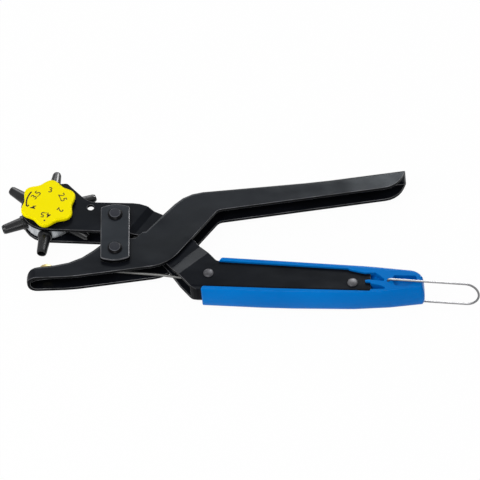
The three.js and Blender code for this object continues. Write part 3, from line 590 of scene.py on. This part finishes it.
def makeTurnedTree():
    tree, entry = startTree("turnedPiece", {
        "Segments": "Int", "Rail Radius": "Float", "Count": "Int", "First Place": "Vector",
        "Last Place": "Vector", "Tilt": "Rotation", "Finish": "Material",
    })
    outline = addNode(tree, "GeometryNodeMeshToCurve", {"Mesh": entry["Geometry"]})
    inward = calculate(tree, "SUBTRACT", 0.0, entry["Rail Radius"])
    offset = addNode(tree, "ShaderNodeCombineXYZ", {"X": inward})
    profile = addNode(tree, "GeometryNodeTransform", {
        "Geometry": outline.outputs[0], "Translation": offset.outputs[0], "Scale": (1, -1, 1),
    })
    rail = addNode(tree, "GeometryNodeCurvePrimitiveCircle", {
        "Resolution": entry["Segments"], "Radius": entry["Rail Radius"],
    })
    skin = addNode(tree, "GeometryNodeCurveToMesh", {
        "Curve": rail.outputs[0], "Profile Curve": profile.outputs[0],
    })
    outside = addNode(tree, "GeometryNodeFlipFaces", {"Mesh": skin.outputs[0]})
    closed = addNode(tree, "GeometryNodeMergeByDistance", {
        "Geometry": outside.outputs[0], "Distance": weld,
    })
    places = addNode(tree, "GeometryNodeMeshLine", {
        "Count": entry["Count"], "Start Location": entry["First Place"],
        "Offset": entry["Last Place"],
    }, mode="END_POINTS", count_mode="TOTAL")
    row = addNode(tree, "GeometryNodeInstanceOnPoints", {
        "Points": places.outputs[0], "Instance": closed.outputs[0], "Rotation": entry["Tilt"],
    })
    endTree(tree, row.outputs[0], entry["Finish"])
    return tree


turnedTree = makeTurnedTree()


def roundCorners(corners, steps=4):
    path = []
    for i, (x, y, fillet) in enumerate(corners):
        here = Vector((x, y))
        if not fillet or i in (0, len(corners) - 1):
            path.append((x, y))
            continue
        into = Vector(corners[i - 1][:2]) - here
        out = Vector(corners[i + 1][:2]) - here
        most = 0.49 * min(into.length, out.length)  # two fillets never meet
        reach = min(fillet / math.tan(into.angle(out) / 2), most)
        start, end = here + into.normalized() * reach, here + out.normalized() * reach
        for step in range(steps + 1):
            t = step / steps
            point = start.lerp(here, t).lerp(here.lerp(end, t), t)
            path.append((point.x, point.y))
    return path


def bothEnds(half):
    return [(x, -y, fillet) for x, y, fillet in half] + half[::-1]


def turnPiece(name, corners, finish, segments, first, last=None, tilt=(0, 0, 0)):
    profile = [(x * mm, y * mm, 0) for x, y in roundCorners(corners)]
    piece = growPiece(name, turnedTree, profile, {
        "Segments": segments, "Rail Radius": railRadius * mm, "Count": 2 if last else 1,
        "First Place": tuple(first), "Last Place": tuple(last or first), "Tilt": tilt,
        "Finish": finishes[finish],
    })
    return settlePiece(piece)


def pivotRivets():
    size = pivotRivet
    half = [
        (0, size["top"], 0),
        (size["crown"], size["top"], size["soft"]),
        (size["head"], size["top"] - size["slope"], size["soft"]),
        (size["head"], size["under"], size["underSoft"]),
        (size["shank"], size["under"], 0),
    ]
    piece = turnPiece("pivotRivets", bothEnds(half), "headSteelPaintedShade", size["segments"],
                      lowerPivot, upperPivot)
    mountPiece(piece, "link", "rivet_steel", "lower_pivot_rivet", "upper_pivot_rivet")


domeRivet = {
    "shank": 2.0, "head": 3.1, "under": 7.1, "height": 1.4, "underSoft": 0.1,
    "domeSteps": 8, "stepDegrees": 10, "segments": 40,
}


def handleRivets():
    size = domeRivet
    half = [(0, size["under"] + size["height"], 0)]
    for step in range(1, size["domeSteps"] + 1):
        angle = math.radians(90 - step * size["stepDegrees"])
        half.append((size["head"] * math.cos(angle),
                     size["under"] + size["height"] * math.sin(angle), 0))
    half += [(size["head"], size["under"], size["underSoft"]), (size["shank"], size["under"], 0)]
    front, rear = nodeCentre("front_handle_rivet"), nodeCentre("rear_handle_rivet")
    piece = turnPiece("handleRivets", bothEnds(half), "domeSteel", size["segments"], front, rear)
    mountPiece(piece, "upper_lever", "rivet_steel", "front_handle_rivet", "rear_handle_rivet")


punchTube = {
    "bores": [4.5, 2.0, 2.5, 3.0, 3.5, 4.0], "firstDegrees": 261.4, "apartDegrees": 60,
    "inner": 10.4, "seat": 15.6, "collar": 4.4, "collarLength": 1.9, "neck": 3.7, "shank": 2.9,
    "wall": 0.5, "bevel": 1.2, "tip": 29.5, "taper": 0.67, "segments": 48,
    "shankSoft": 0.1, "seatSoft": 0.2, "collarSoft": 0.5, "neckSoft": 0.3, "waistSoft": 0.8,
    "tipSoft": 0.06,
}


def punchTubes():
    size = punchTube
    for i, bore in enumerate(size["bores"]):
        inside, edge = bore / 2, bore / 2 + size["wall"]
        waist = size["neck"] + (edge - size["neck"]) * size["taper"]
        collarEnd = size["seat"] + size["collarLength"]
        corners = [
            (inside, size["inner"], 0),
            (size["shank"], size["inner"], size["shankSoft"]),
            (size["shank"], size["seat"], 0),
            (size["collar"], size["seat"], size["seatSoft"]),
            (size["collar"], collarEnd, size["collarSoft"]),
            (size["neck"], collarEnd, size["neckSoft"]),
            (waist, size["tip"] - size["bevel"], size["waistSoft"]),
            (edge, size["tip"], size["tipSoft"]),
            (inside, size["tip"], size["tipSoft"]),
            (inside, size["inner"], 0),
        ]
        heading = math.radians(size["firstDegrees"] + size["apartDegrees"] * i)
        number = f"{bore:.1f}".replace(".", "_")
        piece = turnPiece(f"punchTube_{number}", corners, "tubeSteel", size["segments"],
                          turretAxle, tilt=(0, math.pi / 2, heading))
        mountPiece(piece, "turret", "tube_steel", f"punch_tube_{number}")


anvilDisc = {
    "radius": 4.0, "height": 2.7, "shank": 2.2, "sink": 0.2, "underWeb": 2.4,
    "rivet": 3.2, "rivetHeight": 1.0, "faceSoft": 0.5, "rivetSoft": 0.4, "underSoft": 0.1,
    "place": (-41.18, -7.55), "headingDegrees": 275.2, "segments": 56,
}


def anvil():
    size = anvilDisc
    rivetEnd = size["underWeb"] + size["rivetHeight"]
    corners = [
        (0, -size["height"], 0),
        (size["radius"], -size["height"], size["faceSoft"]),
        (size["radius"], -size["sink"], size["underSoft"]),
        (size["shank"], -size["sink"], 0),
        (size["shank"], size["underWeb"], 0),
        (size["rivet"], size["underWeb"], size["underSoft"]),
        (size["rivet"], rivetEnd, size["rivetSoft"]),
        (0, rivetEnd, 0),
    ]
    x, y = size["place"]
    tilt = (0, math.pi / 2, math.radians(size["headingDegrees"]))
    piece = turnPiece("anvilDisc", corners, "brass", size["segments"],
                      (x * mm, y * mm, lowerPivot.z), tilt=tilt)
    mountPiece(piece, "lower_lever", "anvil_brass", "anvil")


pivotRivets()
handleRivets()
punchTubes()
anvil()
print("rivets, tubes and anvil turned")

# wire pieces: opening spring and bail


def makeWireTree():
    tree, entry = startTree("wirePiece", {
        "Wire Radius": "Float", "Sides": "Int", "Finish": "Material",
    })
    route = addNode(tree, "GeometryNodeMeshToCurve", {"Mesh": entry["Geometry"]})
    section = addNode(tree, "GeometryNodeCurvePrimitiveCircle", {
        "Resolution": entry["Sides"], "Radius": entry["Wire Radius"],
    })
    wire = addNode(tree, "GeometryNodeCurveToMesh", {
        "Curve": route.outputs[0], "Profile Curve": section.outputs[0], "Fill Caps": True,
    })
    endTree(tree, wire.outputs[0], entry["Finish"])
    return tree


wireTree = makeWireTree()


def bendWire(name, route, size, finish):
    piece = growPiece(name, wireTree, route, {
        "Wire Radius": size["wire"] * mm, "Sides": size["sides"], "Finish": finishes[finish],
    })
    return settlePiece(piece)


openingSpring = {
    "wire": 0.8, "sides": 14, "gap": 0.3,
    "coil": 7.0, "turns": 3, "pitch": 2.15, "stepsPerTurn": 40,
    "spacing": 24.7, "sleeve": 5.0, "tail": 3.4,  # the tail rests on the upper pivot's sleeve
    "legFall": 11.2, "legInset": 0.9, "insetShare": 0.55, "legSteps": 12, "bendFrom": 9.0,
    "rivetSleeve": 3.1, "eyeReach": 2.2, "eyeStart": 160, "eyeDegrees": 300,
}


def springRoute():
    size = openingSpring
    rest = size["sleeve"] + size["gap"] + size["wire"]
    lean = math.degrees(math.asin((size["coil"] + rest) / size["spacing"]))
    start = 180 - lean
    sweep = 270 - size["legFall"] + 360 * size["turns"] - start
    climb = size["pitch"] * sweep / 360
    touch = pointAt((0, size["spacing"]), -lean, rest)
    end = pointAt(touch, 90 - lean, size["tail"])
    path = [(*end, climb / 2), (*touch, climb / 2)]
    steps = round(sweep * size["stepsPerTurn"] / 360)
    for i in range(steps + 1):
        at = pointAt((0, 0), start + sweep * i / steps, size["coil"])
        path.append((*at, climb / 2 - climb * i / steps))
    leave = Vector(path[-1][:2])
    rivet = (nodeCentre("front_handle_rivet") / mm)[:2]
    eye = size["rivetSleeve"] + size["gap"] + size["wire"]
    reach = pointAt(rivet, 180 - size["legFall"], size["eyeReach"] * eye)
    inset = leave.lerp(reach, size["insetShare"])
    for first, last, drop in ((leave, inset, climb / 2), (inset, reach, size["legInset"])):
        for i in range(1, size["legSteps"] + 1):
            share = i / size["legSteps"]
            path.append((*first.lerp(last, share), -drop - (size["legInset"] - drop) * share))
    eyeSteps = round(size["eyeDegrees"] * size["stepsPerTurn"] / 360)
    for i in range(eyeSteps + 1):
        at = pointAt(rivet, size["eyeStart"] - size["eyeDegrees"] * i / eyeSteps, eye)
        path.append((*at, -size["legInset"]))
    return [(x * mm, y * mm, z * mm + lowerPivot.z) for x, y, z in path], leave, reach


def spring():
    route, leave, reach = springRoute()
    piece = bendWire("openingSpring", route, openingSpring, "springWire")
    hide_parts("opening_spring")
    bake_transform(piece)  # the leg is routed to its rivet


wireLoop = {
    "wire": 0.65, "sides": 16, "level": 9.9, "hookDepth": 4.4, "gripHalf": 8.6, "hookBend": 1.3,
    "leg": 45.3, "fall": 7.1, "bow": 7.9, "bendSteps": 14,
}


def bend(first, knee, last, steps):
    curve = []
    for i in range(steps + 1):
        t = i / steps
        curve.append(first.lerp(knee, t).lerp(knee.lerp(last, t), t))
    return curve


def bail():
    size = wireLoop
    fall = math.radians(-size["fall"])

    def place(along, z):
        return Vector((along * math.cos(fall), along * math.sin(fall), z))

    level, hook, steps = size["level"], size["hookBend"], size["bendSteps"]
    half = [place(0, size["gripHalf"] - size["hookDepth"])]
    half += bend(place(0, level - hook), place(0, level), place(hook, level), steps)
    for i in range(steps):
        turn = math.pi / 2 * i / steps
        half.append(place(size["leg"] + size["bow"] * math.sin(turn), level * math.cos(turn)))
    half.append(place(size["leg"] + size["bow"], 0))
    other = [Vector((p.x, p.y, -p.z)) for p in reversed(half[:-1])]
    piece = bendWire("wireBail", [p * mm + bailHinge for p in half + other], size, "bailWire")
    mountPiece(piece, "bail", "bail_wire", "wire_bail")


spring()
bail()
print("spring and bail bent")

# waste cap with its numbers


def makeCapTree():
    tree, entry = startTree("lobedCap", {
        "Radius": "Float", "Lobe": "Float", "Lobes": "Int", "First Lobe": "Float",
        "Thickness": "Float", "Place": "Vector", "Steps": "Int", "Finish": "Material",
    })
    circle = addNode(tree, "GeometryNodeCurvePrimitiveCircle", {
        "Resolution": entry["Steps"], "Radius": entry["Radius"],
    })
    position = addNode(tree, "GeometryNodeInputPosition").outputs[0]
    parts = addNode(tree, "ShaderNodeSeparateXYZ", {0: position}).outputs
    angle = calculate(tree, "ARCTAN2", parts["Y"], parts["X"])
    fromLobe = calculate(tree, "SUBTRACT", angle, entry["First Lobe"])
    waves = calculate(tree, "MULTIPLY", fromLobe, entry["Lobes"])
    wave = calculate(tree, "COSINE", waves)
    swell = calculate(tree, "MULTIPLY", wave, entry["Lobe"])
    share = calculate(tree, "DIVIDE", swell, entry["Radius"])
    factor = calculate(tree, "ADD", share, 1.0)
    lobed = addNode(tree, "ShaderNodeVectorMath", {0: position, "Scale": factor},
                    operation="SCALE")
    outline = addNode(tree, "GeometryNodeSetPosition", {
        "Geometry": circle.outputs[0], "Position": lobed.outputs[0],
    })
    face = addNode(tree, "GeometryNodeFillCurve", {"Curve": outline.outputs[0]}, mode="NGONS")
    raised = addNode(tree, "GeometryNodeExtrudeMesh", {
        "Mesh": face.outputs[0], "Offset Scale": entry["Thickness"], "Individual": False,
    }, mode="FACES")
    under = addNode(tree, "GeometryNodeFlipFaces", {"Mesh": face.outputs[0]})
    both = addNode(tree, "GeometryNodeJoinGeometry")
    tree.links.new(raised.outputs["Mesh"], both.inputs[0])
    tree.links.new(under.outputs[0], both.inputs[0])
    closed = addNode(tree, "GeometryNodeMergeByDistance", {
        "Geometry": both.outputs[0], "Distance": weld,
    })
    placed = addNode(tree, "GeometryNodeTransform", {
        "Geometry": closed.outputs[0], "Translation": entry["Place"],
    })
    endTree(tree, placed.outputs[0], entry["Finish"])
    return tree


wasteCap = {
    "radius": 15.6, "lobe": 1.3, "lobes": 6, "thickness": 2.8, "under": 8.5, "steps": 180,
    "edge": 0.85, "edgeSteps": 5, "edgeDegrees": 50,
    "spigot": 10.1, "spigotWall": 1.2, "spigotDepth": 3.0, "spigotSoft": 0.3,
    "spigotSunk": 0.02, "spigotSegments": 64,
}
capInk = {
    "height": 0.03, "numbers": ["4.5", "2", "2.5", "3", "3.5", "4"], "numberRadius": 9.1,
    "numberSize": 5.4, "numberWeight": 0.008, "numberSpacing": 0.95,
    "arcRadius": 12.9, "arcStart": 140, "arcEnd": 190, "arcWidth": 0.9, "arcSteps": 24,
    "barbAhead": 1, "barbBack": 3, "barbInward": 1.5, "dotRadius": 13.3, "dotSize": 0.5,
}


def capLid():
    size = wasteCap
    place = Vector((turretAxle.x, turretAxle.y, turretAxle.z + size["under"] * mm))
    piece = growPiece("wasteCap", makeCapTree(), [(0, 0, 0), (mm, 0, 0)], {
        "Radius": size["radius"] * mm, "Lobe": size["lobe"] * mm, "Lobes": size["lobes"],
        "First Lobe": math.radians(punchTube["firstDegrees"]),
        "Thickness": size["thickness"] * mm, "Place": tuple(place), "Steps": size["steps"],
        "Finish": finishes["yellowPlastic"],
    })
    softenEdges(piece, size["edge"], size["edgeSteps"], size["edgeDegrees"])
    settlePiece(piece)
    mountPiece(piece, "cap", "cap_yellow", "waste_cap")


def capSpigot():
    size = wasteCap
    low, high = size["under"] - size["spigotDepth"], size["under"] + size["spigotSunk"]
    outer, inner = size["spigot"], size["spigot"] - size["spigotWall"]
    corners = [
        (inner, low, 0), (outer, low, size["spigotSoft"]), (outer, high, 0), (inner, high, 0),
        (inner, low, 0),
    ]
    rim = turnPiece("capSpigot", corners, "yellowPlastic", size["spigotSegments"], turretAxle)
    mountPiece(rim, "cap", "cap_yellow")


def lettering(text, matrix):
    size = capInk["numberSize"] * mm
    curve = bpy.data.curves.new("number", "FONT")
    curve.body = text
    curve.size = size
    curve.align_x, curve.align_y = "CENTER", "CENTER"
    curve.extrude = capInk["height"] * mm
    curve.offset = size * capInk["numberWeight"]
    curve.space_character = capInk["numberSpacing"]
    carrier = addObject("number", curve)
    mesh = shapedMesh(carrier)
    bpy.data.objects.remove(carrier)
    mesh.transform(matrix)
    return mesh


def strip(points, width, low, high):
    work = bmesh.new()
    rings = []
    for i, point in enumerate(points):
        before, after = points[max(i - 1, 0)], points[min(i + 1, len(points) - 1)]
        along = (after - before).normalized()
        side = Vector((-along.y, along.x)) * width / 2
        left, right = point + side, point - side
        ring = [(*left, low), (*right, low), (*right, high), (*left, high)]
        rings.append([work.verts.new(corner) for corner in ring])
    for a, b in zip(rings, rings[1:]):
        for k in range(4):
            work.faces.new((a[k], a[(k + 1) % 4], b[(k + 1) % 4], b[k]))
    work.faces.new(rings[0][::-1])
    work.faces.new(rings[-1])
    bmesh.ops.recalc_face_normals(work, faces=work.faces)
    mesh = bpy.data.meshes.new("strip")
    work.to_mesh(mesh)
    work.free()
    return mesh


def printedMeshes():
    ink = capInk
    top = turretAxle.z + (wasteCap["under"] + wasteCap["thickness"]) * mm
    low, high = top - ink["height"] * mm, top + ink["height"] * mm
    centre = turretAxle.xy / mm
    meshes = []
    for i, number in enumerate(ink["numbers"]):
        degrees = punchTube["firstDegrees"] + punchTube["apartDegrees"] * i
        at = pointAt(centre, degrees, ink["numberRadius"]) * mm
        turn = Matrix.Rotation(math.radians(degrees - 90), 4, "Z")
        meshes.append(lettering(number, Matrix.Translation((at.x, at.y, top)) @ turn))
    arc = []
    for i in range(ink["arcSteps"] + 1):
        degrees = ink["arcStart"] + (ink["arcEnd"] - ink["arcStart"]) * i / ink["arcSteps"]
        arc.append(pointAt(centre, degrees, ink["arcRadius"]) * mm)
    meshes.append(strip(arc, ink["arcWidth"] * mm, low, high))
    tip = pointAt(centre, ink["arcEnd"] + ink["barbAhead"], ink["arcRadius"]) * mm
    barb = pointAt(centre, ink["arcEnd"] - ink["barbBack"],
                   ink["arcRadius"] - ink["barbInward"]) * mm
    meshes.append(strip([tip, barb], ink["arcWidth"] * mm, low, high))
    dot = pointAt(centre, punchTube["firstDegrees"], ink["dotRadius"]) * mm
    half = Vector((ink["dotSize"] * mm, 0))
    meshes.append(strip([dot - half, dot + half], ink["dotSize"] * 2 * mm, low, high))
    return meshes


def capPrint():
    work = bmesh.new()
    for mesh in printedMeshes():
        work.from_mesh(mesh)
        bpy.data.meshes.remove(mesh)
    bmesh.ops.remove_doubles(work, verts=work.verts, dist=weld)
    bmesh.ops.dissolve_degenerate(work, edges=work.edges, dist=weld)
    bmesh.ops.recalc_face_normals(work, faces=work.faces)
    printed = bpy.data.meshes.new("capNumbers")
    work.to_mesh(printed)
    work.free()
    printed.materials.clear()
    printed.materials.append(finishes["printedInk"])
    piece = addObject("capNumbers", printed)
    mountPiece(piece, "cap", "cap_yellow")


capLid()
capSpigot()
capPrint()
print("cap lobed and numbered")

# carried-over pieces

keptFinish = {
    "lower_pivot_sleeve": "sleeveSteel", "upper_pivot_sleeve": "sleeveSteel",
    "front_rivet_sleeve": "sleeveSteel", "rear_rivet_sleeve": "sleeveSteel",
    "turret_retaining_ring": "springWire", "detent_ball": "bailWire",
    "detent_spring": "springWire",
}
for node, finish in keptFinish.items():
    for holder in frame["nodes"][node].material_slots:
        holder.material = finishes[finish]
print("small inner pieces finished")
